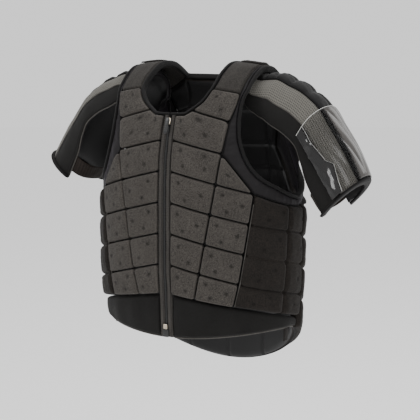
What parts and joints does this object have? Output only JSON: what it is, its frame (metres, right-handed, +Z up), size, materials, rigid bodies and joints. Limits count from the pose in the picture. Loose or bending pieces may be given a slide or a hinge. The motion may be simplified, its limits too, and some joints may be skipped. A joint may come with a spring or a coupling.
{
  "type": "body protector vest with shoulder protectors",
  "caption": "Zip-fronted segmented foam body protector vest with a pair of padded shoulder protectors over its armholes, held as it is when worn.",
  "frame": {"origin": "midway between the wearer's shoulders, at the height where the straps rest on them", "axes": "+X towards the wearer's left, -Y the way the wearer faces, +Z up"},
  "size_m": [0.6593, 0.2728, 0.5744],
  "materials": {
    "block_fabric": "heathered knit over foam",
    "side_fabric": "dark heathered knit over foam",
    "yoke_fabric": "fine plain weave",
    "smooth_fabric": "smooth stretch knit",
    "pad_fabric": "quilted stretch fabric",
    "mesh_fabric": "ribbed air mesh",
    "strap_fabric": "woven stretch webbing",
    "lining_fabric": "smooth shiny lining",
    "binding_tape": "folded elastic tape",
    "zip_tape": "narrow woven tape",
    "zip_teeth": "moulded teeth",
    "zip_metal": "satin",
    "clear_film": "clear glossy film"
  },
  "bodies": {
    "root": {"block_inner_1_left": "block_fabric", "block_inner_1_right": "block_fabric", "block_inner_2_left": "block_fabric", "block_inner_2_right": "block_fabric", "block_inner_3_left": "block_fabric", "block_inner_3_right": "block_fabric", "block_inner_4_left": "block_fabric", "block_inner_4_right": "block_fabric", "block_inner_5_left": "block_fabric", "block_inner_5_right": "block_fabric", "block_inner_6_left": "block_fabric", "block_inner_6_right": "block_fabric", "block_outer_1_left": "block_fabric", "block_outer_1_right": "block_fabric", "block_outer_2_left": "block_fabric", "block_outer_2_right": "block_fabric", "block_outer_3_left": "block_fabric", "block_outer_3_right": "block_fabric", "block_outer_4_left": "block_fabric", "block_outer_4_right": "block_fabric", "block_chest_left": "block_fabric", "block_chest_right": "block_fabric", "block_armhole_left": "block_fabric", "block_armhole_right": "block_fabric", "shoulder_strap_left": "strap_fabric", "shoulder_strap_right": "strap_fabric", "shoulder_flap_left": "strap_fabric", "shoulder_flap_right": "strap_fabric", "front_lining_left": "lining_fabric", "front_lining_right": "lining_fabric", "zip_flap_left": "zip_tape", "zip_flap_right": "zip_tape", "zip_coil": "zip_teeth", "zip_slider": "zip_metal", "zip_puller": "zip_teeth", "hem_yoke_left": "yoke_fabric", "hem_yoke_right": "yoke_fabric", "side_panel_left": "side_fabric", "side_panel_right": "side_fabric", "back_panel": "side_fabric", "armhole_pad_left": "smooth_fabric", "armhole_pad_right": "smooth_fabric", "armhole_binding_left": "binding_tape", "armhole_binding_right": "binding_tape", "neck_binding": "binding_tape", "hem_tab_left": "strap_fabric", "hem_tab_right": "strap_fabric", "sleeve_shell_left": "smooth_fabric", "sleeve_shell_right": "smooth_fabric", "sleeve_pad_left": "pad_fabric", "sleeve_pad_right": "pad_fabric", "sleeve_mesh_left": "mesh_fabric", "sleeve_mesh_right": "mesh_fabric", "sleeve_band_left": "smooth_fabric", "sleeve_band_right": "smooth_fabric", "sleeve_hem_left": "binding_tape", "sleeve_hem_right": "binding_tape", "arm_strap_left": "strap_fabric", "arm_strap_right": "strap_fabric", "clear_pocket_left": "clear_film"}
  },
  "joints": []
}
